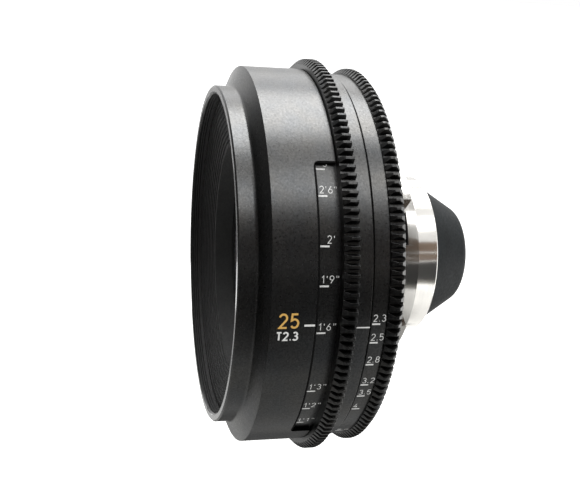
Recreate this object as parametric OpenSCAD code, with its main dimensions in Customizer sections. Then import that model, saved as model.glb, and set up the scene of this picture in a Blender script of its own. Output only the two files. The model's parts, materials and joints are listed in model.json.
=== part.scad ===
// Cinema prime lens for a 54 mm breech-lock mount.
// The optical axis is Y: the front rim faces -Y, the mount faces +Y, and +Z is the top of the lens.
// The origin is the centre of the flange seat. The scale index lines lie on the +X side.

/* [Front] */
// Outside diameter of the front ring, for clamp-on accessories
front_d = 110; // [106:0.5:112]
// Length of the front ring ahead of the shoulder
front_len = 5.9; // [4:0.1:10]
// Wall of the front ring around its bore
front_wall = 2.6; // [2.2:0.1:3]
// Free length of the front bore, ahead of the light baffle
front_bore_len = 3.9; // [3:0.1:5]
// Step from the front bore down to the baffle's seat
bore_step = 0.8; // [0.4:0.1:1.2]
// Length of the conical shoulder behind the front ring
cone_len = 2.2; // [1.5:0.1:4]
// Depth of the spigot that seats the front ring in the housing
spigot_len = 2.6; // [2:0.1:3.2]
// Thickness of the spigot's wall
spigot_wall = 1.2; // [1:0.1:1.4]
// Number of ridges on the light baffle
baffle_ridges = 9; // [4:1:14]

/* [Front housing] */
// Outside diameter of the front housing
housing_d = 123; // [122.4:0.2:126]
// Length of the cylindrical part of the housing
housing_len = 19.1; // [17:0.1:24]
// Wall of the housing around the scale drum
skirt_wall = 1; // [0.8:0.1:1.6]
// Thickness of the web that carries the housing on the barrel
web_thick = 3; // [2.5:0.1:3.4]
// Length of each scale window, measured from the open rear edge
window_len = 6.5; // [5:0.1:7.2]
// Angle that each scale window spans
window_angle = 86.6; // [60:0.2:110]
// Corner radius of the windows
window_corner = 1.5; // [0.5:0.1:2.5]

/* [Gears] */
// Gear module of both drive gears
gear_module = 0.8; // [0.78:0.01:0.81]
// Number of teeth of the focus gear
focus_teeth = 160; // [159:1:164]
// Face width of the focus gear
focus_gear_w = 4.2; // [3.8:0.1:6]
// Number of teeth of the iris gear
iris_teeth = 154; // [153:1:158]
// Face width of the iris gear
iris_gear_w = 4.2; // [3.8:0.1:6]
// Rim of the focus gear below its teeth
focus_gear_rim = 2.8; // [2:0.1:3.2]
// Rim of the iris gear below its teeth
iris_gear_rim = 1.2; // [1:0.1:2]
// Chamfer on the front ends of the teeth of both gears
tooth_chamfer = 1.6; // [0.4:0.1:1.7]
// Chamfer on the rear edge of the focus gear
focus_gear_chamfer = 0.3; // [0.2:0.1:1.4]
// Chamfer on the rear edge of the iris gear
iris_gear_chamfer = 1.4; // [0.4:0.1:1.6]

/* [Focus] */
// Length of the scale drum ahead of the gear
focus_drum_len = 7.5; // [7.1:0.1:8.2]
// Wall of the scale drums of both rings
drum_wall = 3; // [2.6:0.1:3.4]
// Turn from rest to the far stop, in degrees
focus_far = 88.5; // [60:0.5:92]
// Turn from rest to the near stop, in degrees
focus_near = 48.5; // [30:0.5:52]
// Travel of the optical carriage from the far stop to the near stop
focus_travel = 3; // [2:0.1:3.2]
// Diameter of the two cam followers
follower_d = 2.4; // [2:0.1:3]

/* [Iris] */
// Outside diameter of the iris scale
iris_scale_d = 120.6; // [119:0.1:121.4]
// Width of the iris scale ahead of the gear
iris_scale_w = 4.7; // [4:0.1:5.6]
// Turn of the iris ring from fully open to the smallest stop, in degrees
iris_turn = 110; // [90:1:114]
// Turn of each blade over the same range, in degrees
blade_turn = 23.5; // [18:0.5:24]
// Radius of the full aperture
aperture_r = 11; // [10:0.1:12]
// Outer radius of the crescent of each blade
blade_outer_r = 20; // [18:0.1:20.5]
// Radius of the circle of blade pivots
pivot_r = 24; // [23.5:0.1:24.5]
// Distance from each blade's pivot to its drive pin
lever_len = 10; // [9:0.1:10.4]
// Thickness of a blade
blade_thick = 0.2; // [0.15:0.01:0.25]
// Distance from one blade's level to the next
blade_pitch = 0.4; // [0.3:0.01:0.42]
// Diameter of the pins on the blades
blade_pin_d = 0.7; // [0.5:0.05:0.8]

/* [Index ring] */
// Outside diameter of the fixed ring between the gears
index_ring_d = 122; // [121:0.1:123]
// Width of the fixed ring between the gears
index_ring_w = 4.7; // [4.5:0.1:8]

/* [Barrel] */
// Bore of the main barrel
barrel_bore_d = 74; // [73.4:0.1:74.6]
// Wall of the main barrel
barrel_wall = 3; // [2.6:0.1:3.4]
// Wall of the optical carriage
carriage_wall = 4; // [3.6:0.1:4.4]
// Wall of the focus cam sleeve
sleeve_wall = 3; // [2.4:0.1:3.4]
// Wall of the iris ring's hub
hub_wall = 3.5; // [3.2:0.1:4.5]
// Outside diameter of the barrel's middle flange
mid_flange_d = 106; // [103:0.5:110]
// Thickness of the barrel's flanges
flange_thick = 2.8; // [2.4:0.1:3.2]

/* [Rear cover] */
// Length of the rear cover
rear_cover_len = 5.9; // [5.5:0.1:9]
// Diameter of the rear cover at the iris gear
rear_cover_d = 116; // [112:0.5:118]
// Diameter of the rear cover's back face
rear_cover_back_d = 88; // [86:0.5:90]
// Thickness of the rear cover's back wall
cover_back_thick = 2.7; // [2.4:0.1:3.2]
// Wall of the rear cover's cone
cover_wall = 1.6; // [1.2:0.1:2.2]
// Wall of the collar that the rear cover has round the mount's neck
collar_wall = 0.9; // [0.7:0.1:1.2]

/* [Mount] */
// Diameter of the mount tube
tube_d = 54; // [53.5:0.05:54.5]
// Length of the mount tube behind the flange seat
tube_len = 8.3; // [6:0.1:12]
// Wall of the mount tube
tube_wall = 1.8; // [1.5:0.1:2]
// Width of the seat around the tube
seat_w = 4; // [3.8:0.1:5]
// Height of the seat behind the tabs
shoulder_len = 2; // [1.2:0.1:3]
// Reach of the tabs beyond the seat
tab_reach = 3.5; // [2.5:0.1:4.5]
// Thickness of the tabs
tab_thick = 2.8; // [2.4:0.1:3.4]
// Angle that each tab spans
tab_angle = 43; // [36:0.5:50]
// Width of the locating slot in each tab
tab_slot_w = 4.2; // [3:0.1:5]
// Gap between the tabs and the rear cover, for the camera's locking ring
neck_len = 5.2; // [4.6:0.1:8]
// Thickness of the back focus shim
shim_thick = 0.3; // [0.1:0.05:0.6]

/* [Rear baffle] */
// Length of the rear baffle behind the mount tube
baffle_len = 15.9; // [13:0.1:20]
// Step from the mount tube down to the rear baffle
baffle_step = 1; // [0.6:0.1:1.4]
// Diameter of the rear baffle's end, across its rounded nose
baffle_back_d = 35; // [34:0.1:38]
// Opening at the end of the rear baffle
baffle_hole_d = 24.8; // [22:0.1:24.8]
// Rounding of the rear baffle's nose
baffle_round = 5; // [3:0.1:5]

/* [Glass] */
// Diameter of the front element
glass1_d = 62; // [61:0.1:62.6]
// Diameter of the second element
glass2_d = 44; // [42:0.2:46]
// Diameter of the third element
glass3_d = 34; // [32:0.2:35]
// Diameter of the cemented doublet
doublet_d = 30; // [28:0.2:32]
// Diameter of the rear element
rear_glass_d = 31; // [30.4:0.1:32]

/* [Fits] */
// Radial clearance of turning and sliding fits
run_clear = 0.05; // [0.02:0.01:0.09]
// Gap between a turning ring and its fixed neighbour
ring_gap = 0.25; // [0.15:0.05:0.4]
// Clearance between the scale drum and the housing around it
drum_clear = 0.3; // [0.2:0.05:0.5]
// Clearance of pins in their slots
pin_clear = 0.06; // [0.04:0.01:0.1]
// Axial play beside each thrust washer
axial_play = 0.05; // [0.02:0.01:0.1]
// Free space at each end of the carriage's travel
end_space = 0.5; // [0.3:0.1:0.8]

/* [Hidden] */
$fn = 96;
BLADES = 8;
SCREWS = 6;
TABS = 4;

// Plain sizes of small hardware
screw_d = 2;
screw_head_d = 3.6;
screw_head_h = 1.4;
countersink_h = 1.1;
socket_d = 1.7;
flat_socket_d = 1.3;
flat_socket_h = 0.6;
tip_gap = 0.6;
washer_thick = 0.8;
stop_pin_d = 1.6;
drive_pin_d = 1.6;
plate_thick = 1.2;
driver_thick = 2.4;
retainer_thick = 1.5;
cell_ring_thick = 1.4;
lip = 2;
slot_side = 0.3;
pin_edge = 1.725;
front_edge = 0.4;
ring_edge = 0.3;
front_flange_w = 8;
sleeve_flange_w = 6;
index_lip_w = 6;
web_inset = 0.5;
follower_inset = 6;
driver_inset = 2;
plate_margin = 2;
cell_clear = 1;
seat_lip = 1;
over = 1;
cut = 0.1;

// Angles of the features around the axis, measured upwards from the +X side
tab_phi = 45;
key_phi = 125;
follower_phi = 90;
stop_phi = 90;
iris_stop_phi = 300;

// Stations along the axis, built up forwards from the flange seat at zero
z_tab_back = -shoulder_len;
z_tab_front = z_tab_back - tab_thick;
z_cover_back = z_tab_front - neck_len;
z_cover_front = z_cover_back - rear_cover_len;
z_iris_back = z_cover_front - ring_gap;
z_iris_gear = z_iris_back - iris_gear_w;
z_iris_front = z_iris_gear - iris_scale_w;
z_index_back = z_iris_front - ring_gap;
z_index_front = z_index_back - index_ring_w;
z_focus_back = z_index_front - ring_gap;
z_focus_gear = z_focus_back - focus_gear_w;
z_skirt = z_focus_gear - ring_gap;
z_drum = z_focus_gear - focus_drum_len;
z_cone_back = z_skirt - housing_len;
z_cone_front = z_cone_back - cone_len;
z_front = z_cone_front - front_len;
z_web = z_cone_front + spigot_len;
z_barrel_front = z_web + web_thick;
z_front_flange = z_barrel_front + flange_thick;
z_sleeve = z_front_flange + washer_thick + axial_play;
z_mid_back = z_index_front + flange_thick;
z_hub_front = z_mid_back + washer_thick + axial_play;
z_rear_flange = z_cover_back - cover_back_thick - flange_thick;
z_cover_seat = z_rear_flange + flange_thick;
z_hub_back = z_rear_flange - axial_play;
z_focus_web = z_focus_back - flange_thick;
z_iris_web_back = z_iris_back - web_inset;
z_iris_web = z_iris_web_back - flange_thick;
z_end = tube_len + baffle_len;

// Travel of the carriage, forwards to the near stop and backwards to the far stop
travel_rate = focus_travel / (focus_far + focus_near);
travel_near = focus_near * travel_rate;
travel_far = focus_far * travel_rate;
z_carriage = z_front_flange + travel_near + end_space;
z_carriage_back = z_rear_flange - travel_far - end_space;
z_retainer = z_carriage_back - retainer_thick;
z_driver = z_retainer - ring_gap - driver_thick;
z_plate = z_driver - ring_gap - BLADES * blade_pitch - plate_thick;
z_follower = z_carriage + follower_inset;

// Radii of the core
bore_r = barrel_bore_d / 2;
barrel_r = bore_r + barrel_wall;
carriage_r = bore_r - run_clear;
cell_r = carriage_r - carriage_wall;
sleeve_in_r = barrel_r + run_clear;
sleeve_r = sleeve_in_r + sleeve_wall;
hub_r = sleeve_in_r + hub_wall;
mid_r = mid_flange_d / 2;
front_flange_r = barrel_r + front_flange_w;
sleeve_flange_r = sleeve_r + sleeve_flange_w;
iris_stop_r = hub_r + pin_edge;
rear_flange_r = iris_stop_r + pin_edge;
tube_r = tube_d / 2;
tube_bore_r = tube_r - tube_wall;
shoulder_r = tube_r + seat_w;
tab_r = shoulder_r + tab_reach;
cover_hole_r = shoulder_r + drum_clear;
skirt_in_r = housing_d / 2 - skirt_wall;
drum_r = skirt_in_r - drum_clear;
drum_in_r = drum_r - drum_wall;
iris_r = iris_scale_d / 2;
iris_in_r = iris_r - drum_wall;
focus_gear_r = gear_module * (focus_teeth + 2) / 2;
iris_gear_r = gear_module * (iris_teeth + 2) / 2;
tooth_h = 2.25 * gear_module;
focus_seat_r = focus_gear_r - tooth_h - focus_gear_rim;
iris_seat_r = iris_gear_r - tooth_h - iris_gear_rim;
front_r = front_d / 2;
front_bore_r = front_r - front_wall;
spigot_r = front_bore_r + spigot_wall;
driver_r = cell_r - run_clear;
driver_in_r = pivot_r - driver_inset;
plate_hole_r = aperture_r + plate_margin;
window_half = window_angle / 2;
mount_screw_r = (tube_r + shoulder_r) / 2;
cover_screw_r = (cover_hole_r + rear_cover_back_d / 2) / 2;
stop_r = (sleeve_flange_r + mid_r) / 2;
rear_cell_r = tube_bore_r - cell_clear;

// Curvatures of the glass, centre thicknesses and seats
glass1_r = glass1_d / 2;
glass2_r = glass2_d / 2;
glass3_r = glass3_d / 2;
doublet_r = doublet_d / 2;
rear_glass_r = rear_glass_d / 2;
g1_front = 90;
g1_back = 40;
g1_thick = 3;
g1_hollow_r = glass2_r - lip;
g2_front = 120;
g2_back = 35;
g2_thick = 2.5;
g2_hollow_r = glass3_r - seat_lip;
g3_front = 40;
g3_back = 70;
g3_edge = 1.2;
g3_seat_r = glass3_r - seat_lip;
g3_gap = 1.5;
spacer_len = 3;
spacer_inset = 0.5;
glass1_proud = 4;
z_g1 = z_carriage - glass1_proud;
z_g1_back = z_g1 + g1_thick + sag(g1_back, g1_hollow_r);
z_g2 = z_g1_back + spacer_len - sag(g2_front, g1_hollow_r + spacer_inset);
z_g2_back = z_g2 + g2_thick + sag(g2_back, g2_hollow_r);
z_g3_seat = z_g2_back + g3_gap;
z_g3 = z_g3_seat - sag(g3_front, g3_seat_r);
z_g3_edge = z_g3 + sag(g3_front, glass3_r);
z_g3_end = z_g3_edge + g3_edge + sag(g3_back, glass3_r);

// Rear group, placed behind the retainer
d_front = 32;
d_mid = 24;
d_edge = 1.4;
d_thick = 2;
d_seat_r = doublet_r - seat_lip;
d_inset = 2;
r_front = 45;
r_edge = 2;
rear_air = 10;
cell_tail = 3;
z_d_seat = z_carriage_back + d_inset;
z_d = z_d_seat - sag(d_front, d_seat_r);
z_d_edge = z_d + sag(d_front, doublet_r);
z_d_mid = z_d_edge + d_edge + sag(d_mid, doublet_r);
z_d_back = z_d_mid + d_thick;
z_r_front = z_d_back + rear_air;
z_r_edge = z_r_front + sag(r_front, rear_glass_r);
z_r_end = z_r_edge + r_edge;
z_cell_end = z_r_end + cell_tail;

// Depth of a spherical surface of radius r at distance y from the axis
function sag(r, y) = r - sqrt(r * r - y * y);

// A point at radius r and angle phi in the plane across the axis
function polar(r, phi) = [r * cos(phi), r * sin(phi)];

// Stands a shape that is drawn about the vertical axis along the optical axis
module lens() {
    rotate([-90, 0, 0]) children();
}

// Turns a shape on the +X side to the angle phi, measured upwards
module at(phi) {
    rotate([0, 0, -phi]) children();
}

// Repeats a shape evenly around the axis
module around(count, phi = 0) {
    for (i = [0 : count - 1]) {
        at(phi + i * 360 / count) children();
    }
}

module revolve(points) {
    rotate_extrude() polygon(points);
}

module ring(r_in, r_out, z0, z1) {
    revolve([[r_in, z0], [r_out, z0], [r_out, z1], [r_in, z1]]);
}

module disc(r, z0, z1) {
    translate([0, 0, z0]) cylinder(r = r, h = z1 - z0);
}

// Part of a ring between two angles
module arc_ring(r_in, r_out, z0, z1, phi0, phi1) {
    section = [[r_in, z0], [r_out, z0], [r_out, z1], [r_in, z1]];
    at(phi1) rotate_extrude(angle = phi1 - phi0) polygon(section);
}

// A rod that points outwards from the axis
module radial_rod(d, r0, r1, z) {
    translate([r0, 0, z]) rotate([0, 90, 0]) cylinder(d = d, h = r1 - r0);
}

// Half of the angle that a width spans at a radius
function half_angle(width, r) = asin(width / 2 / r);

// Screw with a cylinder head, its head seat at zero, the shank towards +Z, and a hexagon socket
module cap_screw(len) {
    difference() {
        union() {
            cylinder(d = screw_d, h = len);
            translate([0, 0, -screw_head_h]) cylinder(d = screw_head_d, h = screw_head_h);
        }
        translate([0, 0, -screw_head_h - cut]) cylinder(d = socket_d, h = screw_head_h / 2 + cut, $fn = 6);
    }
}

// The hole that takes a cap screw with its head sunk flush
module cap_screw_hole(len) {
    cylinder(d = screw_d, h = len);
    translate([0, 0, -screw_head_h - cut]) cylinder(d = screw_head_d, h = screw_head_h + cut);
}

// Countersunk screw with its flat top at zero and the shank towards -Z
module flat_screw(len) {
    difference() {
        flat_screw_hole(len);
        translate([0, 0, -flat_socket_h]) cylinder(d = flat_socket_d, h = over, $fn = 6);
    }
}

module flat_screw_hole(len) {
    translate([0, 0, -len]) cylinder(d = screw_d, h = len);
    translate([0, 0, -countersink_h]) cylinder(d1 = screw_d, d2 = screw_head_d, h = countersink_h);
}

// Half widths of a gear tooth at its root and at its tip, in pitches
root_half = 0.36;
tip_half = 0.15;

// Outline of a spur gear with straight-sided teeth
module gear_outline(teeth, tip_r, bore_r) {
    step = 360 / teeth;
    root_r = tip_r - tooth_h;
    tooth = [[-root_half, root_r], [-tip_half, tip_r], [tip_half, tip_r], [root_half, root_r]];
    difference() {
        polygon([for (i = [0 : teeth - 1], c = tooth) polar(c[1], (i + c[0]) * step)]);
        circle(r = bore_r);
    }
}

// Spur gear with the ends of its teeth turned down to a cone at the front and at the back
module gear(teeth, tip_r, bore_r, z0, z1, back_chamfer) {
    out_r = tip_r + over;
    intersection() {
        translate([0, 0, z0]) linear_extrude(z1 - z0) gear_outline(teeth, tip_r, bore_r);
        revolve([
            [0, z0], [tip_r - tooth_chamfer, z0], [out_r, z0 + tooth_chamfer + over],
            [out_r, z1 - back_chamfer - over], [tip_r - back_chamfer, z1], [0, z1]
        ]);
    }
}

// Front housing and its screws
house_screw_r = (bore_r + front_flange_r) / 2;
z_house_head = z_web + screw_head_h;
house_screw_len = z_front_flange - z_house_head - tip_gap;

// Front ring: the free bore, then a step down to the seat of the light baffle
baffle_seat_r = front_bore_r - bore_step;
z_baffle_top = z_front + front_bore_len;

module front_ring() {
    color([0.07, 0.07, 0.08]) lens() revolve([
        [front_bore_r, z_front], [front_r - front_edge, z_front], [front_r, z_front + front_edge],
        [front_r, z_cone_front], [spigot_r, z_cone_front], [spigot_r, z_web], [baffle_seat_r, z_web],
        [baffle_seat_r, z_baffle_top], [front_bore_r, z_baffle_top]
    ]);
}

// Stepped funnel that stops stray light around the front glass
baffle_rim = 1.2;
baffle_neck = 1.2;
baffle_clear = 0.3;
baffle_out_r = baffle_seat_r - run_clear;
baffle_top_r = baffle_out_r - baffle_rim;
z_baffle_neck = z_web - baffle_neck;
ridge_dr = (baffle_top_r - bore_r) / baffle_ridges;
ridge_dz = (z_baffle_neck - z_baffle_top) / baffle_ridges;

module front_baffle() {
    stairs = [for (i = [0 : baffle_ridges - 1], k = [0, 1])
        [baffle_top_r - i * ridge_dr, z_baffle_top + (i + k) * ridge_dz]];
    color([0.04, 0.04, 0.04]) lens() revolve(concat(
        [[baffle_out_r, z_web], [baffle_out_r, z_baffle_top]],
        stairs,
        [[bore_r - 2 * baffle_clear, z_baffle_neck], [cell_r + baffle_clear, z_front_flange - baffle_rim],
            [cell_r + baffle_clear, z_front_flange], [bore_r - baffle_clear, z_front_flange],
            [bore_r - baffle_clear, z_web]]
    ));
}

// Opening that shows the focus scale, with round front corners and an open rear edge
module scale_window() {
    corner_steps = 6;
    half_w = housing_d / 2 * sin(window_half);
    z_top = z_skirt - window_len;
    corner = [-z_top - window_corner, half_w - window_corner];
    function arc(side, a0) = [for (i = [0 : corner_steps])
        [corner[0], side * corner[1]] + polar(window_corner, a0 + i * 90 / corner_steps)];
    rotate([0, 90, 0]) linear_extrude(housing_d)
        polygon(concat([[-z_skirt - over, -half_w]], arc(-1, -90), arc(1, 0), [[-z_skirt - over, half_w]]));
}

module front_housing() {
    color([0.07, 0.07, 0.08]) lens() difference() {
        revolve([
            [front_r, z_cone_front], [housing_d / 2, z_cone_back], [housing_d / 2, z_skirt],
            [skirt_in_r, z_skirt], [skirt_in_r, z_barrel_front], [bore_r, z_barrel_front], [bore_r, z_web],
            [spigot_r, z_web], [spigot_r, z_cone_front]
        ]);
        scale_window();
        at(180) scale_window();
        around(SCREWS) translate([house_screw_r, 0, z_house_head]) cap_screw_hole(house_screw_len);
    }
}

module front_housing_screws() {
    color("dimgray") lens() around(SCREWS)
        translate([house_screw_r, 0, z_house_head]) cap_screw(house_screw_len);
}

// Main barrel, which carries every ring and guides the carriage
index_screw_r = mid_r - index_lip_w / 2;
index_lip_r = mid_r - index_lip_w;
z_index_head = z_index_back - screw_head_h;
index_screw_len = z_index_head - z_index_front - tip_gap;
z_cover_head = z_cover_back - screw_head_h;
cover_screw_len = z_cover_head - z_rear_flange - tip_gap;
mount_screw_len = -z_rear_flange - tip_gap;
barrel_end_gap = 0.8;
barrel_end_r = tube_bore_r + barrel_end_gap;
z_key = z_driver + driver_thick / 2;
key_spare = 1;
key_margin = half_angle(drive_pin_d + 2 * slot_side, bore_r) + key_spare;
pin_sunk = 2;
focus_stop_reach = 1.6;
iris_stop_reach = 1.4;

// Slot that lets a cam follower slide along the axis
module guide_slot() {
    w = follower_d + 2 * pin_clear;
    r0 = bore_r - over;
    r1 = barrel_r + over;
    z0 = z_follower - travel_near - slot_side;
    z1 = z_follower + travel_far + slot_side;
    translate([r0, -w / 2, z0]) cube([r1 - r0, w, z1 - z0]);
    radial_rod(w, r0, r1, z0);
    radial_rod(w, r0, r1, z1);
}

// Arc that lets the drive pin turn with the iris ring, and slide too where travel is given
module key_slot(r0, r1, near, far) {
    z0 = z_key - drive_pin_d / 2 - near - slot_side;
    z1 = z_key + drive_pin_d / 2 + far + slot_side;
    arc_ring(r0 - over, r1 + over, z0, z1, key_phi - key_margin, key_phi + iris_turn + key_margin);
}

module main_barrel() {
    color([0.55, 0.56, 0.58]) lens() difference() {
        union() {
            ring(bore_r, barrel_r, z_barrel_front, z_rear_flange);
            ring(bore_r, front_flange_r, z_barrel_front, z_front_flange);
            ring(bore_r, mid_r, z_index_front, z_mid_back);
            ring(barrel_end_r, rear_flange_r, z_rear_flange, z_cover_seat);
        }
        around(2, follower_phi) guide_slot();
        key_slot(bore_r, barrel_r, travel_near, travel_far);
        around(SCREWS) translate([house_screw_r, 0, z_house_head])
            cylinder(d = screw_d, h = house_screw_len);
        around(SCREWS) translate([index_screw_r, 0, z_index_head - index_screw_len])
            cylinder(d = screw_d, h = index_screw_len);
        around(SCREWS) translate([cover_screw_r, 0, z_cover_head - cover_screw_len])
            cylinder(d = screw_d, h = cover_screw_len);
        around(TABS) translate([mount_screw_r, 0, -mount_screw_len])
            cylinder(d = screw_d, h = mount_screw_len);
        at(stop_phi) translate([stop_r, 0, z_index_front - cut])
            cylinder(d = stop_pin_d, h = pin_sunk + cut);
        at(iris_stop_phi) translate([iris_stop_r, 0, z_rear_flange - cut])
            cylinder(d = stop_pin_d, h = pin_sunk + cut);
    }
}

module focus_thrust_washer() {
    color("darkgoldenrod") lens()
        ring(sleeve_in_r, sleeve_r, z_front_flange, z_front_flange + washer_thick);
}

module focus_stop_pin() {
    z0 = z_focus_back - focus_stop_reach;
    color("silver") lens() at(stop_phi) translate([stop_r, 0, z0])
        cylinder(d = stop_pin_d, h = z_index_front + pin_sunk - z0);
}

// Places a screw that is driven in from behind
module from_behind(r, z) {
    around(SCREWS) translate([r, 0, z]) mirror([0, 0, 1]) children();
}

module index_ring() {
    r = index_ring_d / 2;
    color([0.07, 0.07, 0.08]) lens() difference() {
        revolve([
            [mid_r, z_index_front], [r - ring_edge, z_index_front], [r, z_index_front + ring_edge],
            [r, z_index_back - ring_edge], [r - ring_edge, z_index_back],
            [index_lip_r, z_index_back], [index_lip_r, z_mid_back], [mid_r, z_mid_back]
        ]);
        from_behind(index_screw_r, z_index_head) cap_screw_hole(index_screw_len);
    }
}

module index_ring_screws() {
    color("dimgray") lens() from_behind(index_screw_r, z_index_head) cap_screw(index_screw_len);
}

module iris_thrust_washer() {
    color("darkgoldenrod") lens() ring(sleeve_in_r, hub_r, z_mid_back, z_mid_back + washer_thick);
}

module iris_stop_pin() {
    z0 = z_iris_web_back - iris_stop_reach;
    color("silver") lens() at(iris_stop_phi) translate([iris_stop_r, 0, z0])
        cylinder(d = stop_pin_d, h = z_rear_flange + pin_sunk - z0);
}

// Rear cover: a short rim, a cone down to the flat back face, then a collar that ends short of the tabs
cover_rim = 0.8;
cover_step = 0.6;
collar_gap = 0.3;
collar_r = cover_hole_r + collar_wall;
z_collar = z_tab_front - collar_gap;

module rear_cover() {
    color([0.06, 0.06, 0.06]) lens() difference() {
        revolve([
            [rear_cover_d / 2, z_cover_front], [rear_cover_d / 2, z_cover_front + cover_rim],
            [rear_cover_back_d / 2, z_cover_back], [collar_r, z_cover_back], [collar_r, z_collar],
            [cover_hole_r, z_collar], [cover_hole_r, z_cover_seat], [rear_flange_r, z_cover_seat],
            [rear_flange_r, z_cover_seat - cover_step],
            [rear_cover_d / 2 - cover_wall, z_cover_front]
        ]);
        from_behind(cover_screw_r, z_cover_head) cap_screw_hole(cover_screw_len);
    }
}

module rear_cover_screws() {
    color("dimgray") lens() from_behind(cover_screw_r, z_cover_head) cap_screw(cover_screw_len);
}

// Breech-lock mount: neck, four tabs with locating slots, seat shoulder and tube
z_shim_back = z_cover_seat + shim_thick;

module back_focus_shim() {
    color("khaki") lens() difference() {
        ring(barrel_end_r, shoulder_r, z_cover_seat, z_shim_back);
        around(TABS) translate([mount_screw_r, 0, z_cover_seat - cut])
            cylinder(d = screw_d, h = shim_thick + 2 * cut);
    }
}

module mount_tab() {
    difference() {
        arc_ring(shoulder_r - over, tab_r, z_tab_front, z_tab_back, -tab_angle / 2, tab_angle / 2);
        translate([shoulder_r, -tab_slot_w / 2, z_tab_front - cut])
            cube([tab_reach + over, tab_slot_w, tab_thick + 2 * cut]);
    }
}

module mount_flange() {
    edge = 0.4;
    color([0.8, 0.8, 0.79]) lens() difference() {
        union() {
            revolve([
                [tube_bore_r, z_shim_back], [shoulder_r, z_shim_back], [shoulder_r, 0], [tube_r, 0],
                [tube_r, tube_len - edge], [tube_r - edge, tube_len], [tube_bore_r, tube_len]
            ]);
            around(TABS, tab_phi) mount_tab();
        }
        around(TABS) translate([mount_screw_r, 0, 0]) flat_screw_hole(mount_screw_len);
    }
}

module mount_screws() {
    color("silver") lens() around(TABS) translate([mount_screw_r, 0, 0]) flat_screw(mount_screw_len);
}

// Rear baffle: a cone with a rounded nose, carried by a spigot in the mount tube
spigot_depth = 6;
baffle_wall = 2;
baffle_land = 0.6;
baffle_lip = 0.8;

module rear_baffle() {
    base_r = tube_r - baffle_step;
    hole_r = baffle_hole_d / 2;
    z_spigot = tube_len - spigot_depth;
    centre = [baffle_back_d / 2 - baffle_round, z_end - baffle_round];
    color([0.09, 0.09, 0.09]) lens() revolve(concat(
        [[tube_bore_r - baffle_wall, z_spigot], [tube_bore_r, z_spigot], [tube_bore_r, tube_len],
            [base_r, tube_len], [base_r, tube_len + baffle_land]],
        [for (a = [0 : 10 : 90]) centre + polar(baffle_round, a)],
        [[hole_r, z_end], [hole_r, z_end - baffle_lip]]
    ));
}

// Focus ring, its gear, and the cam sleeve that moves the carriage
sleeve_flange_thick = 1.5;
z_sleeve_flange = z_focus_web - sleeve_flange_thick;
focus_screw_r = (sleeve_r + sleeve_flange_r) / 2;
focus_screw_len = sleeve_flange_thick + flange_thick - tip_gap;

module focus_ring() {
    stop_margin = half_angle(stop_pin_d + 2 * slot_side, stop_r);
    groove = stop_pin_d / 2 + slot_side;
    seat_in_r = min(drum_in_r, focus_seat_r - drum_wall);
    color([0.07, 0.07, 0.08]) lens() difference() {
        union() {
            ring(drum_in_r, drum_r, z_drum, z_focus_gear);
            ring(seat_in_r, drum_r, z_focus_gear - flange_thick, z_focus_gear);
            ring(seat_in_r, focus_seat_r, z_focus_gear, z_focus_back);
            ring(sleeve_r, seat_in_r + over, z_focus_web, z_focus_back);
        }
        around(SCREWS) translate([focus_screw_r, 0, z_sleeve_flange])
            cylinder(d = screw_d, h = focus_screw_len);
        arc_ring(stop_r - groove, stop_r + groove,
            z_focus_back - focus_stop_reach - slot_side, z_focus_back + over,
            stop_phi - focus_near - stop_margin, stop_phi + focus_far + stop_margin);
    }
}

module focus_gear() {
    color([0.05, 0.05, 0.05]) lens()
        gear(focus_teeth, focus_gear_r, focus_seat_r, z_focus_gear, z_focus_back, focus_gear_chamfer);
}

// Cutter for one helical cam slot, swept in steps along the helix
module cam_slot() {
    steps = 24;
    half_w = follower_d / 2 + pin_clear;
    extra = half_angle(follower_d + 2 * slot_side, sleeve_in_r);
    r0 = sleeve_in_r - over;
    r1 = sleeve_r + over;
    phi0 = -focus_near - extra;
    phi1 = focus_far + extra;
    corners = [[r0, -half_w], [r1, -half_w], [r1, half_w], [r0, half_w]];
    function section(phi) = [for (c = corners)
        concat(polar(c[0], -phi), z_follower + phi * travel_rate + c[1])];
    points = [for (i = [0 : steps]) each section(phi0 + (phi1 - phi0) * i / steps)];
    sides = [for (i = [0 : steps - 1], k = [0 : 3]) let (a = 4 * i + k, b = 4 * i + (k + 1) % 4)
        each [[a, b + 4, b], [a, a + 4, b + 4]]];
    last = 4 * steps;
    ends = [[0, 1, 2], [0, 2, 3], [last, last + 2, last + 1], [last, last + 3, last + 2]];
    polyhedron(points, concat(sides, ends));
}

module focus_cam_sleeve() {
    color("silver") lens() difference() {
        union() {
            ring(sleeve_in_r, sleeve_r, z_sleeve, z_focus_back);
            ring(sleeve_in_r, sleeve_flange_r, z_sleeve_flange, z_focus_web);
        }
        around(2, follower_phi) cam_slot();
        around(SCREWS) translate([focus_screw_r, 0, z_sleeve_flange - cut])
            cylinder(d = screw_d, h = sleeve_flange_thick + 2 * cut);
    }
}

module focus_ring_screws() {
    color("dimgray") lens() around(SCREWS)
        translate([focus_screw_r, 0, z_sleeve_flange]) cap_screw(focus_screw_len);
}

// Carriage, which slides in the barrel with the glass and the iris
follower_skin = 1;
follower_in_r = cell_r + follower_skin;

module carriage() {
    color([0.5, 0.5, 0.52]) lens() difference() {
        ring(cell_r, carriage_r, z_carriage, z_carriage_back);
        key_slot(cell_r, carriage_r, 0, 0);
        around(2, follower_phi) radial_rod(follower_d, follower_in_r, carriage_r + over, z_follower);
    }
}

module cam_followers() {
    color("silver") lens() around(2, follower_phi)
        radial_rod(follower_d, follower_in_r, sleeve_r - slot_side, z_follower);
}

// Front cell: a stepped tube that seats the first three elements
ring3_w = 1.5;
relief_w = 4;
z_ring3 = z_g3_end - sag(g3_back, glass3_r - ring3_w);
cell_relief_r = pivot_r + relief_w;

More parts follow.
